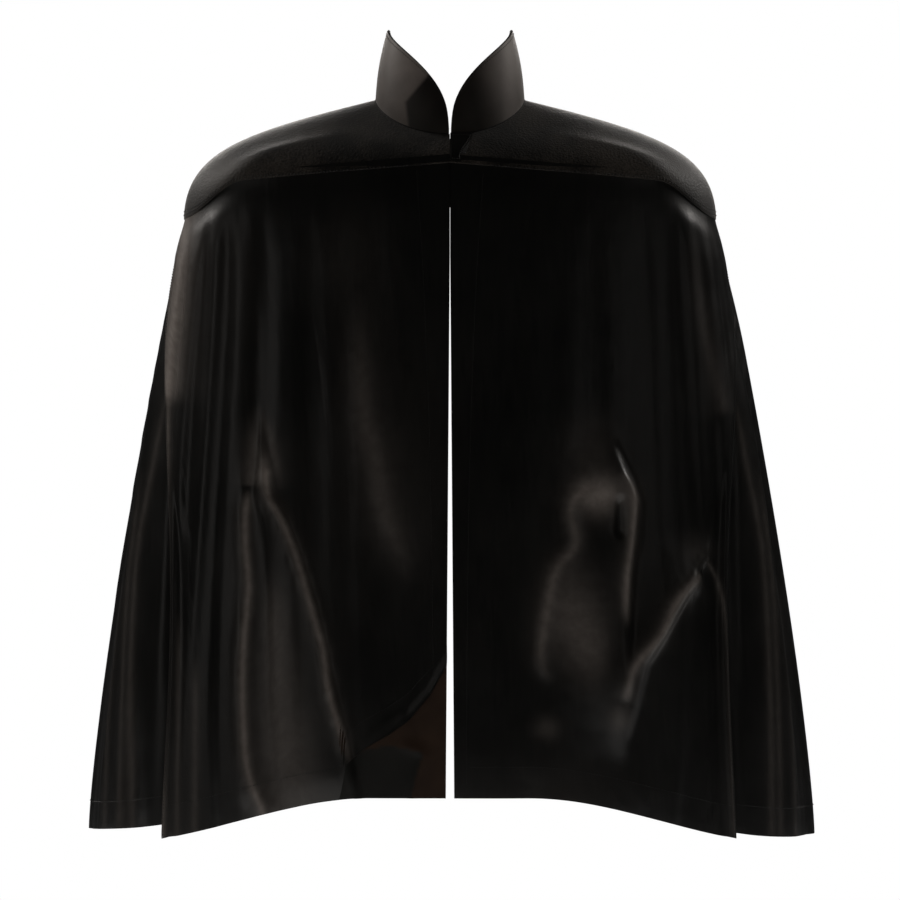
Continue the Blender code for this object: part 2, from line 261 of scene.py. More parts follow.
# ---- folds ----
# Each fold: its path as (x, z) seen from the front, height, width on the left and on the right.
LEFT_LEG = [(-.205, -.335), (-.209, -.38), (-.213, -.425), (-.217, -.45), (-.217, -.486),
            (-.213, -.53), (-.217, -.576), (-.219, -.625), (-.217, -.69), (-.211, -.731),
            (-.199, -.76), (-.19, -.79)]
RIGHT_LEG = [(-.196, -.4), (-.1925, -.433), (-.178, -.458), (-.16, -.503), (-.1455, -.552),
             (-.133, -.596), (-.127, -.637), (-.115, -.678), (-.1025, -.719)]
STREAK = [(-.097, -.21), (-.096, -.258), (-.092, -.339), (-.08, -.392), (-.068, -.454),
          (-.052, -.494), (-.042, -.534)]
ELBOW = [(.267, -.516), (.238, -.545), (.22, -.582), (.192, -.615), (.182, -.653)]
CUFF = [(.178, -.408), (.193, -.43), (.191, -.474), (.184, -.526), (.184, -.575)]
WRIST = [(.15, -.418), (.128, -.446), (.1325, -.484), (.112, -.512), (.103, -.549), (.0955, -.605),
         (.11, -.63)]
POCKET = [(.1785, -.432), (.1775, -.482)]
RIGHT_FOLDS = [
    (LEFT_LEG, .005, .01, .013, (.3, .01)),
    (RIGHT_LEG, .003, .007, .005, (.1, .15)),
    (STREAK, .003, .018, .026, (.3, .3)),
    ([(-.252, -.12), (-.262, -.25), (-.274, -.45), (-.283, -.8)], .0025, .016, .034, (.2, .01)),
    ([(-.24, -.105), (-.229, -.19), (-.226, -.3), (-.234, -.42)], .0012, .01, .022, (.15, .4)),
    ([(-.222, -.098), (-.206, -.18), (-.196, -.3), (-.198, -.38)], .0011, .01, .024, (.15, .4)),
    ([(-.262, -.112), (-.247, -.2), (-.248, -.33), (-.255, -.48)], .0012, .01, .02, (.15, .4)),
    ([(-.15, -.09), (-.146, -.2), (-.138, -.33), (-.118, -.42)], .002, .022, .04, (.3, .4)),
    ([(-.062, -.105), (-.05, -.18), (-.022, -.26)], .0015, .01, .016, (.2, .3)),
]
LEFT_FOLDS = [
    (ELBOW, .006, .01, .01, (.12, .25)),
    (CUFF, .003, .006, .005, (.2, .2)),
    (WRIST, .0035, .01, .014, (.2, .2)),
    (POCKET, -.006, .005, .006, (.3, .3)),
    ([(.255, -.11), (.262, -.2), (.276, -.32), (.29, -.47)], .0025, .024, .016, (.15, .4)),
    ([(.09, -.64), (.1, -.73), (.112, -.8)], .003, .026, .026, (.5, .01)),
    ([(.06, -.3), (.066, -.45), (.055, -.6), (.05, -.78)], .0025, .03, .03, (.3, .01)),
]
# Slopes: cloth that rises from its left line to its right one and then drops. Each line is a
# list of (x, z); then the height, the width of the drop, and the lengths of both ends.
RIGHT_SLOPES = [
    ([(-.206, -.38), (-.209, -.42), (-.214, -.46), (-.214, -.54), (-.217, -.64), (-.205, -.76)],
     [(-.2, -.38), (-.193, -.433), (-.178, -.458), (-.148, -.545), (-.127, -.637), (-.096, -.76)],
     .01, .012, (.14, .06)),
]
LEFT_SLOPES = [
    ([(.13, -.38), (.118, -.446), (.102, -.512), (.09, -.57), (.092, -.63), (.11, -.68)],
     [(.172, -.38), (.194, -.44), (.188, -.5), (.184, -.56), (.182, -.62), (.178, -.68)],
     .011, .016, (.06, .09)),
    ([(.19, -.49), (.18, -.54), (.165, -.62), (.155, -.69)],
     [(.272, -.49), (.245, -.54), (.204, -.61), (.184, -.69)], .007, .014, (.06, .08)),
]
# Painted highlights on the satin's ridges and edges, where the satin is also made duller: a path, how
# bright the painted highlight is, the half-width, and the ends' fade.
RIGHT_PAINTED_HIGHLIGHTS = [
    (LEFT_LEG[2:], .36, .0042, (.1, .05)),
    (LEFT_LEG[:3], .16, .008, (.6, .1)),
    ([(-.205, -.335), (-.19, -.375), (-.178, -.43)], .12, .005, (.5, .3)),
    (RIGHT_LEG, .46, .0036, (.05, .12)),
    (STREAK, .13, .013, (.35, .35)),
    ([(-.286, -.118), (-.295, -.2), (-.3, -.26), (-.306, -.34)], .75, .01, (.05, .15)),
    ([(-.303, -.3), (-.3045, -.45), (-.305, -.6), (-.305, -.795)], .3, .003, (.1, .01)),
    ([(-.2885, -.55), (-.289, -.795)], .1, .003, (.3, .01)),
    ([(-.27, -.6), (-.27, -.795)], .1, .004, (.3, .01)),
]
LEFT_PAINTED_HIGHLIGHTS = [
    (ELBOW, .42, .0045, (.1, .1)),
    (CUFF, .42, .0042, (.25, .2)),
    (WRIST, .22, .006, (.1, .25)),
    ([(.2715, -.5), (.286, -.524), (.295, -.587), (.2976, -.68), (.301, -.795)], .14, .0022,
     (.15, .01)),
    ([(.26, -.13), (.268, -.22), (.281, -.29), (.296, -.35)], .1, .008, (.4, .1)),
]
# Larger patches of painted light, also duller: middle, half-sizes and how bright the painted light is.
RIGHT_PAINTED_LIGHT = [
    ((-.1975, -.406), (.0065, .016), .3), ((-.184, -.56), (.013, .035), .12),
    ((-.181, -.62), (.02, .045), .14), ((-.173, -.695), (.027, .045), .16),
    ((-.165, -.76), (.034, .035), .13), ((-.11, -.18), (.04, .06), .03),
    ((-.225, -.2), (.025, .08), .02), ((-.06, -.42), (.06, .12), .02),
]
LEFT_PAINTED_LIGHT = [
    ((.158, -.434), (.024, .019), .46), ((.128, -.56), (.027, .045), .2),
    ((.15, -.598), (.02, .035), .14), ((.102, -.677), (.013, .012), .1),
    ((.178, -.668), (.012, .014), .14), ((.15, -.385), (.026, .03), .07),
    ((.262, -.492), (.018, .016), .06), ((.122, -.745), (.06, .035), .03),
]
# Painted shade: where the painted light patches are darkened again in a crease: middle, half-sizes and
# the share taken away.
LEFT_PAINTED_SHADE = [((.178, -.458), (.005, .024), .9), ((.16, -.492), (.016, .016), .6),
              ((.172, -.61), (.01, .03), .5)]
# Painted highlights: light strips down the back panels where they show beside the fronts: a path, how
# bright, the half-width, and the ends' fade.
SIDE_PAINTED_HIGHLIGHTS = [
    ([(.3, -.3), (.318, -.4), (.335, -.5), (.341, -.64), (.342, -.8)], .12, .0035,
     (.2, .01)),
    ([(.33, -.4), (.345, -.52), (.35, -.64), (.352, -.8)], .1, .003, (.2, .01)),
    ([(.355, -.52), (.366, -.65), (.37, -.8)], .09, .003, (.2, .01)),
]
# The edge of the shiny cloth at the right front's lower corner, as (x, z) from the centre edge.
CORNER_EDGE = [(-.004, -.612), (-.021, -.643), (-.0435, -.6696), (-.064, -.684), (-.089, -.698),
               (-.106, -.712), (-.119, -.742)]
# Below the bared lining the shiny cloth shows again: its upper edge, and its edge near the centre.
SCRAP_TOP = [(.027, -.7025), (.064, -.694), (.089, -.699), (.13, -.705)]
SCRAP_SIDE = [(.027, -.7025), (.035, -.727), (.0414, -.7556)]
SCRAP_FOLD = [(-.064, -.694), (-.029, -.704), (-.035, -.727), (-.041, -.756)]


def painted_light_tone(x, z, highlights, patches, painted_shades=()):
    """How much painted highlight and painted light the satin gets at each point, from 0 to 1, less
    where painted shade darkens it.
    """
    tone = np.zeros(x.shape)
    for path, pale, width, fade in highlights:
        tone = tone + fold(x, z, path, pale, width, width, fade)
    for middle, size, pale in patches:
        tone = tone + swell(x, z, middle, size, pale)
    for middle, size, share in painted_shades:
        tone = tone * (1.0 - swell(x, z, middle, size, share))
    return np.clip(tone, 0.0, 1.0)


# Painted highlights and painted light on the right front.
def right_painted_light(x, z):
    return painted_light_tone(x, z, RIGHT_PAINTED_HIGHLIGHTS, RIGHT_PAINTED_LIGHT)


def edge_roll(u, t):
    """The free side edge rolls a little towards the front, most at the hem."""
    return 0.0035 * smoothstep((t - 0.25) / 0.5) * np.exp(-((u - 0.965) / 0.022) ** 2)


def tucked(t):
    """How far the panel's top goes below the yoke's lower edge."""
    return UNDER_YOKE * (1 - smoothstep((t + 0.001) / 0.045))


def ripple(angle, t, size, seed):
    """Slow soft waves that hang down the cloth and widen towards the hem."""
    wave = np.zeros(np.broadcast(angle, t).shape)
    for k, (count, share) in enumerate(((5.0, 0.40), (8.3, 0.35), (13.7, 0.18), (21.0, 0.07))):
        phase = seed * 2.4 + k * 1.7
        bend = 0.5 * np.sin(2.1 * t + phase)
        wave = wave + share * np.sin(count * angle + phase + bend)
    calm = 1.0 - 0.75 * np.exp(-((angle - math.pi / 2) / 0.28) ** 2)
    return size * wave * calm * smoothstep((t - 0.02) / 0.75)


def front_grid(sign, cols, rows):
    """The front panel on one side, with its folds."""
    u, v = grid(cols, rows)
    t = lerp(ABOVE_SEAM, 1.0, v)
    angle = u * slit_angle(t)
    base = drape(angle, t)
    base[..., 0] += lerp(FRONT_GAP, HEM_GAP, np.clip((t - 0.15) / 0.85, 0, 1)) * (1 - u) ** 2
    out = outward(base)
    x, z = base[..., 0] * sign, base[..., 2]
    push = ripple(angle, t, 0.0030, 1.0 if sign > 0 else 2.0) + edge_roll(u, t)
    for path, height, left, right, fade in (LEFT_FOLDS if sign > 0 else RIGHT_FOLDS):
        push = push + fold(x, z, path, height, left, right, fade)
    for lines in (LEFT_SLOPES if sign > 0 else RIGHT_SLOPES):
        push = push + slope(x, z, *lines)
    push = push * smoothstep(t / 0.05)
    out[..., 0] *= smoothstep(u / 0.08)
    # The front panel's painted highlights, painted light and painted shade, as a share per point.
    tone = painted_light_tone(x, z, LEFT_PAINTED_HIGHLIGHTS, LEFT_PAINTED_LIGHT, LEFT_PAINTED_SHADE) if sign > 0 else right_painted_light(x, z)
    push = push * clear_of_weight("front", base, push)
    points = base + out * (push - tucked(t))[..., None]
    return settled("front", points, u, t, sign), tone


def back_grid(sign, cols, rows):
    """The back panel on one side: it starts under the front panel and ends at the vent."""
    u, v = grid(cols, rows)
    t = lerp(ABOVE_SEAM, 1.0, v)
    start = slit_angle(t) - OVERLAP
    angle = lerp(start, math.pi, u)
    base = drape(angle, t)
    past_edge = smoothstep((angle - start) / (2.0 * OVERLAP))
    tuck = TUCK * lerp(0.45, 1.0, smoothstep(t / 0.4)) * (1.0 - past_edge)
    push = ripple(angle, t, 0.0085, 3.0 if sign > 0 else 4.5)
    push = push * smoothstep(t / 0.05) * smoothstep((angle - start) / (1.2 * OVERLAP))
    push = push * clear_of_weight("back", base, push)
    points = base + outward(base) * (push - tuck - tucked(t))[..., None]
    points[..., 0] += lerp(VENT_TOP_GAP, VENT_HEM_GAP, t) * u ** 6
    lift = (0.015 if sign < 0 else 0.006) * (1.0 - smoothstep((angle - 0.95) / 1.05))
    points[..., 2] += lift * smoothstep((t - 0.80) / 0.20)
    # Painted highlights on the strips of the back panel's front half.
    tone = painted_light_tone(points[..., 0], points[..., 2], SIDE_PAINTED_HIGHLIGHTS, ()) * (angle < math.pi / 2)
    return settled("back", points, u, t, sign), tone


# ---- cloth simulation ----
def settle(points, sign):
    """How far the hanging cloth moves when it has a little more cloth than its shape needs.

    A coarse copy is simulated. It is held at the seam and loosely held elsewhere, so it keeps
    the cut's shape while gravity and the spare cloth make it buckle.
    """
    rows, cols = points.shape[:2]
    down, across = np.linspace(0, rows - 1, SIM_ROWS), np.linspace(0, cols - 1, SIM_COLS)
    start = resize(points, down, across)
    verts = start.reshape(-1, 3).copy()
    verts[:, 0] *= sign
    ids = np.arange(SIM_ROWS * SIM_COLS).reshape(SIM_ROWS, SIM_COLS)
    made = mesh_object("coarse_cloth", verts, grid_faces(ids).tolist(), smooth=False)
    held = made.vertex_groups.new(name="held")
    for row in range(SIM_ROWS):
        t = row / (SIM_ROWS - 1)
        grip = 1.0 if t < 0.04 else lerp(0.16, 0.05, min(1.0, t / 0.5))
        held.add(ids[row].tolist(), grip, "REPLACE")
    run = made.modifiers.new("cloth", "CLOTH")
    for setting, value in (("vertex_group_mass", "held"), ("quality", 6), ("mass", 0.25),
                           ("pin_stiffness", 0.6), ("tension_stiffness", 12.0),
                           ("compression_stiffness", 12.0), ("shear_stiffness", 4.0),
                           ("bending_stiffness", 0.25), ("shrink_min", -SPARE_CLOTH),
                           ("use_internal_springs", False), ("air_damping", 2.0)):
        setattr(run.settings, setting, value)
    run.collision_settings.use_collision = False
    run.point_cache.frame_start, run.point_cache.frame_end = 1, SIM_FRAMES
    scene = bpy.context.scene
    for moment in range(1, SIM_FRAMES + 1):
        scene.frame_set(moment)
    final = made.evaluated_get(bpy.context.evaluated_depsgraph_get()).data
    ended = np.zeros(len(final.vertices) * 3)
    final.vertices.foreach_get("co", ended)
    ended = ended.reshape(SIM_ROWS, SIM_COLS, 3)
    ended[..., 0] *= sign
    scene.frame_set(1)
    bpy.data.objects.remove(made, do_unlink=True)
    moved = ((ended - start) * outward(start)).sum(axis=-1)
    moved = moved - soften(moved, 160)
    moved = SIM_REACH * np.tanh(moved / SIM_REACH)
    fine = resize(moved[..., None], np.linspace(0, SIM_ROWS - 1, rows),
                  np.linspace(0, SIM_COLS - 1, cols))
    return soften(fine[..., 0], 3)


def resize(values, down, across):
    """Values of a grid between its rows and columns."""
    i = np.minimum(down.astype(int), values.shape[0] - 2)
    j = np.minimum(across.astype(int), values.shape[1] - 2)
    a, b = (down - i)[:, None, None], (across - j)[None, :, None]
    return ((values[i][:, j] * (1 - a) + values[i + 1][:, j] * a) * (1 - b)
            + (values[i][:, j + 1] * (1 - a) + values[i + 1][:, j + 1] * a) * b)


def soften(values, times):
    for _ in range(times):
        padded = np.pad(values, 1, mode="edge")
        values = (padded[:-2, 1:-1] + padded[2:, 1:-1] + padded[1:-1, :-2] + padded[1:-1, 2:]
                  + 2 * padded[1:-1, 1:-1]) / 6
    return values


def settled(panel, points, u, t, sign):
    """The panel's points with the simulated buckling, fading out at the seam and the free edges."""
    ease = smoothstep(t / 0.10) * smoothstep(np.minimum(u, 1 - u) / 0.05)
    side = "left" if sign > 0 else "right"
    centre_share, side_share = BUCKLING["back" if panel == "back" else f"{panel}_{side}"]
    share = lerp(centre_share, side_share, smoothstep((points[..., 0] - 0.18) / 0.10))
    moved = settle(points, sign) * ease * share
    return points + outward(points) * (moved * clear_of_weight(panel, points, moved))[..., None]


def clear_of_weight(panel, points, push):
    """1, but 0 where cloth pushed inwards would touch the weight in its hem."""
    low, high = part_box(f"{panel}_left_hem_weight")
    middle = [(a + b) / 2 for a, b in zip(low, high)]
    far = np.linalg.norm(points - np.array(middle), axis=-1)
    return np.where(push < 0, smoothstep((far - 0.012) / 0.020), 1.0)


# ---- mesh building ----
def link(made):
    bpy.context.collection.objects.link(made)
    return made


def mesh_object(name, verts, faces, mat=None, smooth=True):
    mesh = bpy.data.meshes.new(name)
    mesh.from_pydata(np.asarray(verts).tolist(), [], faces)
    if mat:
        mesh.materials.append(mat)
    if smooth:
        mesh.shade_smooth()
    return link(bpy.data.objects.new(name, mesh))


def unit(vectors):
    return vectors / np.linalg.norm(vectors, axis=-1, keepdims=True)


def grid_faces(ids):
    """Four-cornered faces between the numbered points of a grid."""
    corners = (ids[:-1, :-1], ids[1:, :-1], ids[1:, 1:], ids[:-1, 1:])
    return np.stack(corners, axis=-1).reshape(-1, 4)


def ring_faces(first, last, sides):
    """The walls and the two ends of a row of rings of points."""
    faces = []
    for a in range(first, last, sides):
        for j in range(sides):
            k = (j + 1) % sides
            faces.append((a + j, a + sides + j, a + sides + k, a + k))
    return [*faces, tuple(range(first, first + sides)), tuple(range(last, last + sides))[::-1]]


def onto(piece, body, slot_name, replaced=None):
    """Puts a piece on its body: hides the part it replaces; pieces of the root and the neck tab hang
    from the body's empty, other pieces get their transform applied.
    """
    if replaced:
        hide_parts(replaced)
    if body in ("root", "neck_tab"):
        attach(piece, body)
    else:
        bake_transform(piece)
    return piece


def lengths(points):
    """Distance across and down the cloth, for the weave's coordinates."""
    across = np.linalg.norm(np.diff(points, axis=1), axis=-1)
    down = np.linalg.norm(np.diff(points, axis=0), axis=-1)
    u = np.concatenate([np.zeros((points.shape[0], 1)), np.cumsum(across, axis=1)], axis=1)
    v = np.concatenate([np.zeros((1, points.shape[1])), np.cumsum(down, axis=0)], axis=0)
    return u, v


def cloth(name, points, normals, depth, thickness, sign, mat, body, slot_name, replaced=None,
          tone=None):
    """A closed sheet of cloth whose outer face lies depth inside the grid of points."""
    rows, cols = points.shape[:2]
    faces_at = (points - normals * depth, points - normals * (depth + thickness))
    verts = np.concatenate([level.reshape(-1, 3) for level in faces_at])
    verts[:, 0] *= sign
    ids = np.arange(rows * cols).reshape(rows, cols)
    outer = grid_faces(ids)
    inner = outer[:, [0, 3, 2, 1]] + rows * cols
    rim = np.concatenate([ids[0, :], ids[1:, -1], ids[-1, -2::-1], ids[-2:0:-1, 0]])
    after = np.roll(rim, -1)
    walls = np.stack([rim, after, after + rows * cols, rim + rows * cols], axis=-1)
    faces = np.concatenate([outer, inner, walls])
    if sign < 0:
        faces = faces[:, ::-1]
    made = mesh_object(name, verts, faces.tolist(), mat)
    mesh = made.data
    u, v = lengths(points)
    uv = np.concatenate([np.stack([u, v], axis=-1).reshape(-1, 2)] * 2)
    layer = mesh.uv_layers.new(name="cloth")
    corner = np.zeros(len(mesh.loops), int)
    mesh.loops.foreach_get("vertex_index", corner)
    layer.data.foreach_set("uv", uv[corner].ravel().astype(np.float32))
    # The tone is stored per point: painted light and painted shade on the satin, yoke and collar; on
    # the lining it marks where satin shows.
    if tone is not None:
        painted_light_and_scrap = mesh.attributes.new("painted_light_and_scrap", "FLOAT", "POINT")
        painted_light_and_scrap.data.foreach_set("value", np.tile(tone.ravel(), 2).astype(np.float32))
    mesh.set_sharp_from_angle(angle=math.radians(50))
    return onto(made, body, slot_name, replaced)


def tube(name, path, sign, radius, sides=8):
    """A round piped cord along a path of points, closed at both ends."""
    never_along = (0.13, 0.27, 0.95)
    path = path * (sign, 1, 1)
    ahead = unit(np.gradient(path, axis=0))
    side = unit(np.cross(ahead, never_along))
    up = np.cross(side, ahead)
    turn = np.linspace(0, 2 * math.pi, sides, endpoint=False)
    ring = side[:, None] * np.cos(turn)[None, :, None] + up[:, None] * np.sin(turn)[None, :, None]
    ends = np.minimum(1.0, 0.35 + np.minimum(np.arange(len(path)), np.arange(len(path))[::-1]))
    verts = (path[:, None] + ring * radius * ends[:, None, None]).reshape(-1, 3)
    return mesh_object(name, verts, ring_faces(0, len(verts) - sides, sides), piping)


def resample(path, pitch):
    """Evenly spaced points along a path."""
    steps = np.linalg.norm(np.diff(path, axis=0), axis=1)
    travelled = np.concatenate([[0.0], np.cumsum(steps)])
    spots = np.arange(pitch / 2, travelled[-1] - pitch / 2, pitch)
    return np.stack([np.interp(spots, travelled, path[:, k]) for k in range(3)], axis=1)


def stitches(name, path, normals, sign, body, slot_name, pitch=0.0036, length=0.0024):
    """A row of sewn thread: one small rounded stitch at each pitch."""
    radius, sides = 0.00032, 5
    path, normals = path * (sign, 1, 1), normals * (sign, 1, 1)
    spots = resample(path, pitch)
    ahead = unit(np.gradient(spots, axis=0))
    up = normals[[int(np.argmin(np.linalg.norm(path - spot, axis=1))) for spot in spots]]
    side = np.cross(ahead, up)
    # Each ring of a stitch: its place along it, its thickness and its lift off the cloth.
    rings = ((-0.5, 0.25, -0.2), (-0.32, 1.0, 0.55), (0.0, 1.1, 0.9), (0.32, 1.0, 0.55),
             (0.5, 0.25, -0.2))
    verts, faces = [], []
    turn = np.linspace(0, 2 * math.pi, sides, endpoint=False)
    for n in range(len(spots)):
        first = len(verts)
        for reach, thick, lift in rings:
            middle = spots[n] + ahead[n] * reach * length + up[n] * lift * radius
            for angle in turn:
                around = side[n] * math.cos(angle) + up[n] * math.sin(angle)
                verts.append(middle + around * radius * thick)
        faces += ring_faces(first, len(verts) - sides, sides)
    return onto(mesh_object(name, verts, faces, thread), body, slot_name)


# ---- materials ----
def new_material(name, roughness, specular=0.5, sheen=0.0):
    """A material, its node tree and its shader."""
    mat = bpy.data.materials.new(name)
    mat.use_nodes = True
    shader = mat.node_tree.nodes["Principled BSDF"]
    for socket, value in (("Roughness", roughness), ("Specular IOR Level", specular),
                          ("Sheen Weight", sheen)):
        shader.inputs[socket].default_value = value
    return mat, mat.node_tree, shader


def node(tree, kind, **settings):
    """A new node. A setting is a socket's own value, an output that feeds it, or a property."""
    made = tree.nodes.new(kind)
    for key, value in settings.items():
        if key not in made.inputs:
            setattr(made, key, value)
        elif isinstance(value, bpy.types.NodeSocket):
            tree.links.new(value, made.inputs[key])
        else:
            made.inputs[key].default_value = value
    return made


def cloth_coordinates(tree, scale=(1.0, 1.0, 1.0)):
    """Metres across and down the cloth."""
    place = node(tree, "ShaderNodeUVMap", uv_map="cloth").outputs["UV"]
    return node(tree, "ShaderNodeMapping", Vector=place, Scale=scale).outputs["Vector"]


def object_coordinates(tree):
    return node(tree, "ShaderNodeTexCoord").outputs["Object"]


def shade(tree, shader, color, roughness, normal):
    for value, socket in ((color, "Base Color"), (roughness, "Roughness"), (normal, "Normal")):
        tree.links.new(value, shader.inputs[socket])


def noise(tree, vector, scale, detail=3.0, roughness=0.55):
    made = node(tree, "ShaderNodeTexNoise", Vector=vector, Scale=scale, Detail=detail,
                Roughness=roughness)
    return made.outputs["Fac"]


def spread_of(tree, value, low, high, first=0.3, last=0.7):
    """The value, stretched from between first and last to between low and high."""
    ends = {"From Min": first, "From Max": last, "To Min": low, "To Max": high}
    return node(tree, "ShaderNodeMapRange", Value=value, **ends).outputs["Result"]


def two_tone(tree, value, dark, light, first=0.35, last=0.65):
    ramp = node(tree, "ShaderNodeValToRGB", Fac=value)
    for stop, place, color in zip(ramp.color_ramp.elements, (first, last), (dark, light)):
        stop.position = place
        stop.color = (*color, 1.0)
    return ramp.outputs["Color"]


def bump(tree, height, distance, strength=1.0, under=None):
    made = node(tree, "ShaderNodeBump", Height=height, Strength=strength, Distance=distance)
    if under is not None:
        tree.links.new(under, made.inputs["Normal"])
    return made.outputs["Normal"]


def weave(tree, vector, scale):
    """Threads that cross at right angles."""
    added = node(tree, "ShaderNodeMath", operation="ADD")
    for i, way in enumerate(("X", "Y")):
        wave = node(tree, "ShaderNodeTexWave", bands_direction=way, Vector=vector, Scale=scale)
        tree.links.new(wave.outputs["Fac"], added.inputs[i])
    return added.outputs["Value"]


def multiply(tree, first, second):
    made = node(tree, "ShaderNodeMath", operation="MULTIPLY")
    tree.links.new(first, made.inputs[0])
    tree.links.new(second, made.inputs[1])
    return made.outputs["Value"]


def painted_light_and_scrap_mix(tree, base, marked):
    """Turns a colour into another one by the per-point tone: painted highlights on the satin, painted
    rim light on the yoke, painted light and shade on the collar, the satin scrap on the lining; or a
    value into a number.
    """
    painted_light_and_scrap = node(tree, "ShaderNodeAttribute", attribute_name="painted_light_and_scrap").outputs["Fac"]
    is_number = isinstance(marked, float)
    first, second, result = (2, 3, 0) if is_number else (6, 7, 2)
    mix = node(tree, "ShaderNodeMix", data_type="FLOAT" if is_number else "RGBA")
    tree.links.new(painted_light_and_scrap, mix.inputs[0])
    tree.links.new(base, mix.inputs[first])
    if is_number:
        mix.inputs[second].default_value = marked
    else:
        tree.links.new(marked, mix.inputs[second])
    return mix.outputs[result]


def glossy_satin():
    """Close, shiny black satin with faint streaks down the warp, creases, and painted highlights that
    are also rougher.
    """
    mat, tree, shader = new_material("glossy_satin", 0.30, 0.42)
    warp = cloth_coordinates(tree, (1.0, 0.10, 1.0))
    flat = cloth_coordinates(tree)
    patches = noise(tree, flat, 7.0, 3.0)
    tone = multiply(tree, noise(tree, warp, 240.0, 3.0), patches)
    black = two_tone(tree, tone, (.0018, .0018, .0016), (.0046, .0044, .0039), .15, .42)
    # Painted highlight colour, mixed in by the per-point tone.
    pale = two_tone(tree, noise(tree, flat, 90.0, 4.0), (.165, .142, .127), (.230, .203, .184))
    threads = bump(tree, weave(tree, flat, 700.0), 0.00003, 0.35)
    fine = bump(tree, noise(tree, warp, 120.0, 2.0), 0.00025, 0.5, threads)
    soft = bump(tree, noise(tree, flat, 14.0, 2.0), 0.0040, 0.35, fine)
    gloss = painted_light_and_scrap_mix(tree, spread_of(tree, patches, 0.28, 0.36), 0.5)
    shade(tree, shader, painted_light_and_scrap_mix(tree, black, pale), gloss, soft)
    return mat


def suede():
    """Matte fine-grained yoke leather with a short nap."""
    mat, tree, shader = new_material("yoke_leather", 0.6, 0.36, 0.06)
    shader.inputs["Sheen Roughness"].default_value = 0.45
    place = object_coordinates(tree)
    grain = noise(tree, place, 620.0, 3.0, 0.7)
    worn_grain = multiply(tree, grain, noise(tree, place, 14.0, 3.0))
    dark = two_tone(tree, worn_grain, (.0016, .0013, .0009), (.026, .0218, .0178), .19, .34)
    # Painted rim light: the pale colour, mixed in along the yoke's top and sides.
    pale = two_tone(tree, worn_grain, (.050, .043, .037), (.175, .156, .140), .17, .36)
    cells = node(tree, "ShaderNodeTexVoronoi", Vector=place, Scale=420.0)
    pebbles = bump(tree, cells.outputs["Distance"], 0.0005, 0.5)
    shade(tree, shader, painted_light_and_scrap_mix(tree, dark, pale), spread_of(tree, grain, 0.50, 0.72),
          bump(tree, grain, 0.0004, 0.4, pebbles))
    return mat


def collar_leather():
    """Smooth semi-matte collar cloth: painted shade dark at the front, painted light at the sides that
    grows lighter towards the tips.
    """
    mat, tree, shader = new_material("collar_leather", 0.5, 0.25, 0.03)
    place = object_coordinates(tree)
    height = node(tree, "ShaderNodeSeparateXYZ", Vector=place).outputs["Z"]
    cloudy = noise(tree, place, 26.0, 4.0)
    lift = spread_of(tree, height, 0.0, 1.0, -NECK_FRONT_DROP, COLLAR_TIP_Z)
    dark = two_tone(tree, cloudy, (.0035, .0029, .0022), (.0070, .0058, .0046))
    light = two_tone(tree, multiply(tree, lift, cloudy), (.048, .040, .035), (.132, .114, .103),
                     .02, .42)
    shade(tree, shader, painted_light_and_scrap_mix(tree, dark, light), spread_of(tree, cloudy, 0.44, 0.58),
          bump(tree, noise(tree, place, 900.0, 2.0), 0.00012, 0.5))
    return mat


def brown_lining():
    """Dull brown-black twill; black satin where its per-point tone is 1."""
    mat, tree, shader = new_material("brown_lining", 0.6, 0.15)
    flat = cloth_coordinates(tree)
    slant = node(tree, "ShaderNodeMapping", Vector=flat, Rotation=(0.0, 0.0, math.radians(63)))
    ribs = node(tree, "ShaderNodeTexWave", Vector=slant.outputs["Vector"], Scale=330.0, Distortion=0.6)
    cloudy = noise(tree, flat, 22.0, 4.0)
    brown = two_tone(tree, cloudy, (.0110, .0060, .0036), (.0190, .0110, .0068))
    black = two_tone(tree, cloudy, (.0050, .0050, .0044), (.0080, .0078, .0070))
    shade(tree, shader, painted_light_and_scrap_mix(tree, brown, black), spread_of(tree, cloudy, 0.48, 0.66),
          bump(tree, ribs.outputs["Fac"], 0.00018, 0.5))
    return mat


def tape_cloth():
    mat, tree, shader = new_material("woven_tape", 0.6, 0.4)
    place = cloth_coordinates(tree)
    cloudy = noise(tree, place, 60.0, 3.0)
    black = two_tone(tree, cloudy, (.006, .0055, .005), (.012, .011, .010))
    shade(tree, shader, black, spread_of(tree, cloudy, 0.5, 0.7),
          bump(tree, weave(tree, place, 380.0), 0.0002, 0.5))
    return mat


def simple_grain(name, dark, light, roughness, scale, distance, metallic=0.0, specular=0.5):
    mat, tree, shader = new_material(name, roughness, specular)
    shader.inputs["Metallic"].default_value = metallic
    grain = noise(tree, object_coordinates(tree), scale, 4.0, 0.65)
    shade(tree, shader, two_tone(tree, grain, dark, light),
          spread_of(tree, grain, roughness - 0.08, roughness + 0.1), bump(tree, grain, distance, 0.5))
    return mat


satin = glossy_satin()
leather = suede()
collar_skin = collar_leather()
lining = brown_lining()
tape = tape_cloth()
thread = simple_grain("waxed_thread", (.002, .002, .0019), (.005, .0048, .0045), 0.55, 900.0, 0.00005)
piping = simple_grain("piping_leather", (.002, .002, .0018), (.005, .0045, .004), 0.7, 700.0, 0.0002,
                      specular=0.2)
felt = simple_grain("pad_felt", (.02, .02, .02), (.05, .05, .05), 0.9, 700.0, 0.0004)
board = simple_grain("collar_board", (.05, .05, .048), (.09, .09, .085), 0.75, 500.0, 0.0002)
hooks = simple_grain("hook_pile", (.006, .006, .006), (.022, .022, .022), 0.85, 1800.0, 0.0006)
lead = simple_grain("weight_metal", (.22, .22, .23), (.42, .42, .43), 0.45, 300.0, 0.0001, 1.0)


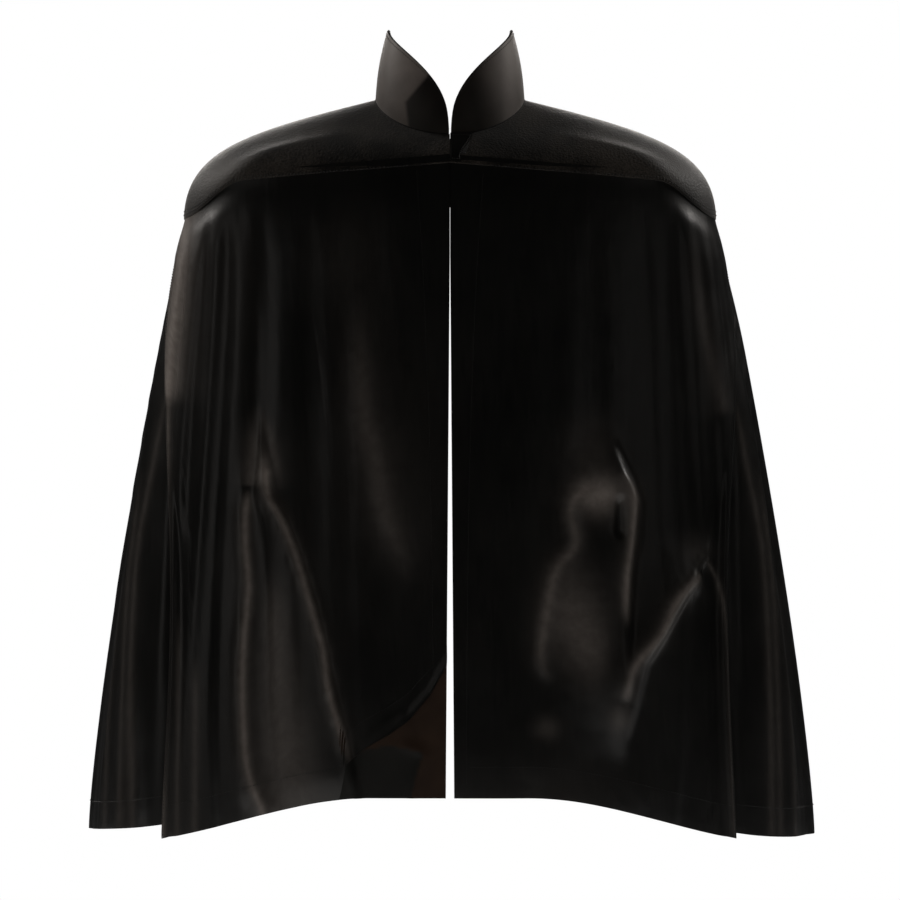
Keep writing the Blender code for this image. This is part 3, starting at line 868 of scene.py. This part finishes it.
# ---- pieces ----
def build_panel(body, points, tone, sign, centre_first):
    """Shell, lining, edge facing, hem band and their stitches."""
    rows, cols = points.shape[:2]
    normals = outward(points)
    shell_points = points
    if body == "front_right":
        shell_points = cut_corner(points)
        # Painted highlights and painted light again, for the cut shell.
        tone = right_painted_light(-shell_points[..., 0], shell_points[..., 2])
    shell = cloth(f"{body}_satin", shell_points, outward(shell_points), 0.0, SHELL, sign, satin, body,
                  "panel_satin", f"{body}_shell", tone)
    top, low = int(rows * 0.025), int(rows * 0.945)
    wide = int(cols * 0.085)
    if centre_first:
        edge_cols, lining_cols = slice(2, wide), slice(wide, cols - 3)
    else:
        edge_cols, lining_cols = slice(cols - wide, cols - 2), slice(3, cols - wide)
    under = SHELL + LAYER_GAP
    pieces = {}
    for part, cut, depth, thickness, mat, slot_name in (
            ("lining", (slice(top, low), lining_cols), under + LINING_SLACK, LINING, lining,
             "lining_satin"),
            ("edge_facing", (slice(top, low, 2), edge_cols), under, TAPE_CLOTH, tape, "seam_tape"),
            ("hem_band", (slice(low + 1, rows - 2), slice(2, cols - 2)), under, TAPE_CLOTH, tape,
             "seam_tape")):
        pieces[part] = cloth(f"{body}_{part}_cloth", points[cut], normals[cut], depth, thickness, sign,
                             mat, body, slot_name, f"{body}_{part}")
    if body == "front_right":
        pieces["corner"] = bared_corner(points, normals, sign)
    inside = pieces.pop("lining")
    others = [*pieces.values(), *sew_panel(body, shell_points, sign, centre_first)]
    declare(shell_points)
    declare(points[top:low, lining_cols])


def declare(points):
    """Measures a sheet's lengths across and down its grid; nothing uses the result."""
    u, v = lengths(points)


def cut_corner(points):
    """The right front's shiny layer: its edge swings away from the lower corner and curls up."""
    x, z = -points[..., 0], points[..., 2]
    ends = np.array(CORNER_EDGE)
    rows = points.shape[0]
    spots = np.arange(rows)
    made = points.copy()
    for col in range(points.shape[1]):
        middle_x = float(x[int(rows * 0.9), col])
        if middle_x < ends[-1, 0]:
            continue
        cut_z = float(np.interp(-middle_x, -ends[:, 0], ends[:, 1]))
        ease = float(smoothstep((middle_x - ends[-1, 0]) / 0.012))
        cut_z = lerp(float(z[-1, col]), cut_z, ease)
        last = float(np.interp(-cut_z, -z[:, col], spots))
        picks = spots * last / (rows - 1)
        for axis in range(3):
            made[:, col, axis] = np.interp(picks, spots, points[:, col, axis])
    to_edge = np.linalg.norm(made - made[-1:, :, :], axis=-1)
    curl = 0.0035 * np.exp(-(to_edge / 0.012) ** 2) + 0.0008
    near_centre = smoothstep((0.112 - made[..., 0]) / 0.05)
    return made + outward(made) * (near_centre * curl)[..., None]


def bared_corner(points, normals, sign):
    """The lining layer that shows below the cut edge of the shiny layer."""
    rows, cols = points.shape[:2]
    part = (slice(int(rows * 0.72), rows), slice(0, int(cols * 0.42)))
    below, out = points[part], normals[part]
    u = np.linspace(0.0, 1.0, below.shape[1])[None, :]
    x, z = -below[..., 0], below[..., 2]
    wave = fold(x, z, SCRAP_FOLD, 0.003, 0.005, 0.010, (.3, .1))
    shifted = below + out * (wave * smoothstep(u / 0.1))[..., None]
    over = np.interp(-x, [p[0] for p in SCRAP_TOP], [p[1] for p in SCRAP_TOP])
    scrap = smoothstep((over - z) / 0.0015) * smoothstep((-x - x_at(SCRAP_SIDE, z)) / 0.0015)
    return cloth("front_right_corner_lining", shifted, outward(shifted), 0.0002, SHELL, sign, lining,
                 "front_right", "lining_satin", "front_right_lining", scrap)


def sew_panel(body, points, sign, centre_first):
    """Topstitching along the centre edge, the slit edge and the hem."""
    normals = outward(points)
    rows, cols = points.shape[:2]
    lines = {"centre": (slice(6, rows - 4), 3 if centre_first else cols - 4),
             "slit": (slice(6, rows - 4), cols - 3 if centre_first else 2),
             "hem": (int(rows * 0.952), slice(4, cols - 4))}
    return [stitches(f"{body}_{part}_stitches", points[line] + normals[line] * PROUD, normals[line],
                     sign, body, "panel_satin") for part, line in lines.items()]


def yoke_grid(cols, rows):
    u, v = grid(cols, rows)
    points = shoulder(u * math.pi, v)
    points[..., 0] += FRONT_GAP * np.abs(1 - 2 * u) ** 6
    turned_edge = 0.0003 * smoothstep((v - 0.985) / 0.015)
    return points - outward(points) * turned_edge[..., None]


def build_yoke(side, sign):
    """The shoulder's leather with a painted rim light that makes it pale along its top and sides, with
    its pad, inside layer and seam tape.
    """
    points = yoke_grid(*YOKE_GRID)
    normals = outward(points)
    # Painted rim light: pale where the yoke faces up or sideways.
    painted_rim_light = 0.58 * (1.0 - smoothstep((np.abs(normals[..., 1]) - 0.08) / 0.30))
    skin = cloth(f"{side}_yoke_leather", points, normals, 0.0, YOKE_CLOTH, sign, leather, "root",
                 "yoke_suede", f"{side}_yoke", painted_rim_light)
    depth = YOKE_CLOTH + LAYER_GAP
    rows, cols = points.shape[:2]
    pad = build_pad(side, sign, points, normals, depth)
    cut = (slice(10, int(rows * 0.93), 2), slice(6, cols - 6, 2))
    inner = cloth(f"{side}_yoke_inside", points[cut], normals[cut], depth + PAD_DEPTH, LINING, sign,
                  lining, "root", "lining_satin", f"{side}_yoke_lining")
    seam_row = int(rows * 0.955)
    along_seam = (slice(seam_row, rows - 2), slice(6, cols - 6))
    band = cloth(f"{side}_seam_band", points[along_seam], normals[along_seam], depth, TAPE_CLOTH, sign,
                 tape, "root", "seam_tape", f"{side}_yoke_seam_tape")
    sewn = [stitches(f"{side}_yoke_{label}_stitches", points[row, 3:-3], normals[row, 3:-3], sign,
                     "root", "yoke_suede") for row, label in ((seam_row, "upper"), (rows - 3, "lower"))]
    declare(points)
    declare(points[cut])


def build_pad(side, sign, points, normals, depth):
    """A felt shoulder pad, thick in the middle and thin at its rim."""
    rows, cols = points.shape[:2]
    part = (slice(int(rows * 0.24), int(rows * 0.78), 2), slice(int(cols * 0.28), int(cols * 0.72), 2))
    u, v = grid(points[part].shape[1], points[part].shape[0])
    crown = (np.sin(math.pi * u) * np.sin(math.pi * v)) ** 0.45
    thickness = (PAD_RIM + PAD_CROWN * crown)[..., None]
    pad = cloth(f"{side}_felt_pad", points[part], normals[part], depth, thickness, sign, felt, "root",
                "pad_felt", f"{side}_shoulder_pad")
    return pad


def collar_grid(cols, rows):
    """One collar wing: it rises to its tip at the side and sinks to the neck at front and back."""
    close_at_ends = 0.5 - 0.5 * np.cos(np.linspace(0, math.pi, cols))
    u, v = grid(cols, rows)
    u = lerp(close_at_ends, u, 0.5)
    angle = lerp(0.012, math.pi - 0.012, u)
    base = neck_point(angle)
    low = np.where(u < 0.5, -NECK_FRONT_DROP, -NECK_BACK_DROP)
    sweep = np.where(u < 0.5, 0.38, 0.44)
    top_z = low + (COLLAR_TIP_Z - low) * (1 - np.abs(2 * u - 1)) ** sweep
    top_z = np.maximum(top_z, base[..., 2] + 0.006)
    tallness = (top_z - base[..., 2]) / COLLAR_TIP_Z
    top = base * (1 - 0.16 * tallness)[..., None]
    top[..., 2] = top_z
    bow = 0.0025 * np.sin(math.pi * v) * tallness
    out = unit(base * (1, 1, 0))
    return lerp(top, base, v[..., None]) + out * bow[..., None]


def collar_painted_light(points, sign):
    """Painted shade dark at the collar's front and painted light at its sides; the right wing's painted
    shade has a crisp edge.
    """
    x, z = points[..., 0], points[..., 2]
    if sign < 0:
        edge = np.interp(z, [-.030, -.007, .022, .034], [.043, .046, .021, .010])
        return 0.02 + 0.80 * smoothstep((x - edge) / 0.005)
    lighter = smoothstep((x - 0.016 - 0.20 * (0.03 - z)) / 0.050)
    return np.clip(0.03 + 0.67 * lighter + 0.28 * smoothstep((x - 0.054) / 0.010), 0.0, 1.0)


def build_collar(side, sign):
    """The collar wing's skin, core and inside, its piped edge and the roll along its seam."""
    points = collar_grid(*COLLAR_GRID)
    normals = outward(points)
    skin = cloth(f"{side}_collar_skin", points, normals, 0.0, COLLAR_CLOTH, sign, collar_skin, "root",
                 "collar_cloth", f"{side}_collar_outer", collar_painted_light(points, sign))
    core = cloth(f"{side}_collar_core", points[3:-4, 8:-8], normals[3:-4, 8:-8], COLLAR_CLOTH + 0.0002,
                 BOARD, sign, board, "root", "collar_board", f"{side}_collar_stiffener")
    back = cloth(f"{side}_collar_inside", points, normals, COLLAR_CLOTH + CORE_SPACE, COLLAR_CLOTH,
                 sign, lining, "root", "collar_facing", f"{side}_collar_facing")
    edge = points[0] - normals[0] * (COLLAR_CLOTH + CORE_SPACE / 2)
    edging = onto(tube(f"{side}_collar_piping", edge, sign, PIPING_RADIUS), "root", "collar_cloth")
    seam = points[-1] - normals[-1] * 0.0002
    onto(tube(f"{side}_neck_roll", seam, sign, NECK_ROLL_RADIUS), "root", "yoke_suede")
    sewn = stitches(f"{side}_collar_stitches", points[2, 3:-3], normals[2, 3:-3], sign, "root",
                    "collar_cloth")
    declare(points)


def front_angle(x, t):
    """The angle at which the yoke's surface has this distance from the centre plane."""
    low, high = np.zeros(x.shape), np.full(x.shape, math.radians(60))
    for _ in range(40):
        middle = (low + high) / 2
        beyond = shoulder(middle, t)[..., 0] > x
        high = np.where(beyond, middle, high)
        low = np.where(beyond, low, middle)
    return (low + high) / 2


def build_tab():
    """The closing tab: a quarter-round flap of satin over the left front, below the collar."""
    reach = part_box("neck_tab")[1][0]
    u, v = grid(*TAB_GRID)
    width = reach * lerp(0.80, 0.36, smoothstep(v / 0.8))
    x = lerp(FRONT_GAP, width, u)
    t = lerp(0.05, 0.985, v)
    points = shoulder(front_angle(x, t), t)
    normals = outward(points)
    rim = np.minimum(np.minimum(u, 1 - u), np.minimum(v, 1 - v))
    points = points + normals * (TAB_LIFT + TAB_CROWN * smoothstep(rim / 0.12))[..., None]
    flap = cloth("neck_flap", points, outward(points), 0.0, TAB_CLOTH, 1.0, satin, "neck_tab",
                 "panel_satin", "neck_tab")
    declare(points)
    loop = np.concatenate([points[3, 3:-3], points[3:-3, -4], points[-4, -4:3:-1]])
    up = np.concatenate([normals[3, 3:-3], normals[3:-3, -4], normals[-4, -4:3:-1]])
    stitches("neck_flap_stitches", loop + up * PROUD, up, 1.0, "neck_tab", "panel_satin",
             pitch=0.0026, length=0.0018)


def build_placket():
    """A narrow strip that hangs from the yoke's lining and closes the gap behind the fronts."""
    cols, on_yoke, on_panel, half_width = 13, 16, 30, 0.007
    path = np.concatenate([shoulder(np.zeros(on_yoke), np.linspace(0.02, 0.98, on_yoke)),
                           drape(np.zeros(on_panel), np.linspace(0.004, 0.070, on_panel))])
    points = np.repeat(path[:, None, :], cols, axis=1)
    points[..., 0] = np.linspace(-half_width, half_width, cols)
    strip = cloth("front_placket", points, outward(points), PLACKET_DEPTH, PLACKET_CLOTH, 1.0, tape,
                  "root", "seam_tape")
    declare(points)


def paint_kept_nodes():
    """Materials for the weights and patches, which keep their CAD shapes."""
    for name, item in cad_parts.items():
        for ending, mat in (("hem_weight", lead), ("patch", hooks)):
            if name.endswith(ending):
                item.data.materials.clear()
                item.data.materials.append(mat)


# ---- stage ----
def stage():
    """A round pale floor below the cape, which hangs as it would from the wearer's neck."""
    floor_z, radius, sides = -1.35, 3.9, 96
    turns = [2 * math.pi * i / sides for i in range(sides)]
    rim = [(radius * math.cos(a), radius * math.sin(a), floor_z) for a in turns]
    paper, _, shader = new_material("floor_paper", 0.9, 0.2)
    shader.inputs["Base Color"].default_value = (.82, .82, .82, 1)
    shader.inputs["Emission Color"].default_value = (1, 1, 1, 1)
    shader.inputs["Emission Strength"].default_value = 0.25
    mesh_object("pale_floor", rim, [tuple(range(sides))], paper, smooth=False)
    bpy.context.scene.view_settings.view_transform = "Standard"


def softbox(name, place, aim, size, power, mirrored=True):
    """A warm rectangular light; one that isn't mirrored makes no reflections."""
    light = bpy.data.lights.new(name, "AREA")
    light.shape = "RECTANGLE"
    light.size, light.size_y = size
    light.energy = power
    light.color = (1.0, 0.955, 0.91)
    made = link(bpy.data.objects.new(name, light))
    made.location = place
    made.rotation_euler = (Vector(aim) - Vector(place)).to_track_quat("-Z", "Y").to_euler()
    made.visible_glossy = mirrored


def lights():
    """A soft rim from behind, side strips, and a front fill that the satin doesn't mirror."""
    softbox("back_rim", (0.0, 2.5, 1.05), (0, 0, -0.05), (3.2, 0.7), 66)
    softbox("left_rim", (-2.2, 0.9, 1.5), (-0.15, 0, -0.1), (0.6, 0.8), 34)
    softbox("right_rim", (2.2, 0.9, 1.5), (0.15, 0, -0.1), (0.6, 0.8), 32)
    softbox("front_fill", (-0.7, -3.2, -0.5), (0, 0, -0.4), (1.6, 0.6), 25, mirrored=False)
    softbox("left_front", (-1.9, -1.9, 0.35), (-0.10, -0.1, -0.45), (0.45, 1.6), 2.0)
    softbox("right_front", (1.5, -2.3, 0.6), (0.15, -0.1, -0.5), (0.35, 0.9), 0.7)
    studio()


def studio():
    """White all round to look at, but dim as light, as between black flags."""
    world = bpy.data.worlds.new("studio")
    world.use_nodes = True
    tree = world.node_tree
    dim = tree.nodes["Background"]
    dim.inputs["Color"].default_value = (0.9, 0.9, 0.92, 1)
    dim.inputs["Strength"].default_value = 0.012
    white = node(tree, "ShaderNodeBackground", Color=(1, 1, 1, 1), Strength=1.0)
    rays = node(tree, "ShaderNodeLightPath")
    mix = node(tree, "ShaderNodeMixShader", Fac=rays.outputs["Is Camera Ray"])
    tree.links.new(dim.outputs["Background"], mix.inputs[1])
    tree.links.new(white.outputs["Background"], mix.inputs[2])
    tree.links.new(mix.outputs["Shader"], tree.nodes["World Output"].inputs["Surface"])
    bpy.context.scene.world = world


def camera():
    """Level with the middle of the cape, straight in front of it."""
    distance, height, frame_width, sensor = 4.5, -0.385, 0.99, 36.0
    made = bpy.data.cameras.new("camera")
    made.sensor_width = sensor
    made.lens = sensor * distance / frame_width
    made.clip_end = 60
    place = link(bpy.data.objects.new("camera", made))
    place.location = (0.0, -distance, height)
    place.rotation_euler = (math.pi / 2, 0, 0)
    bpy.context.scene.camera = place


def main():
    camera()
    lights()
    stage()
    paint_kept_nodes()
    for side, sign in (("left", 1.0), ("right", -1.0)):
        build_yoke(side, sign)
        build_collar(side, sign)
        build_panel(f"front_{side}", *front_grid(sign, *FRONT_GRID), sign, centre_first=True)
        build_panel(f"back_{side}", *back_grid(sign, *BACK_GRID), sign, centre_first=False)
    build_tab()
    build_placket()


main()
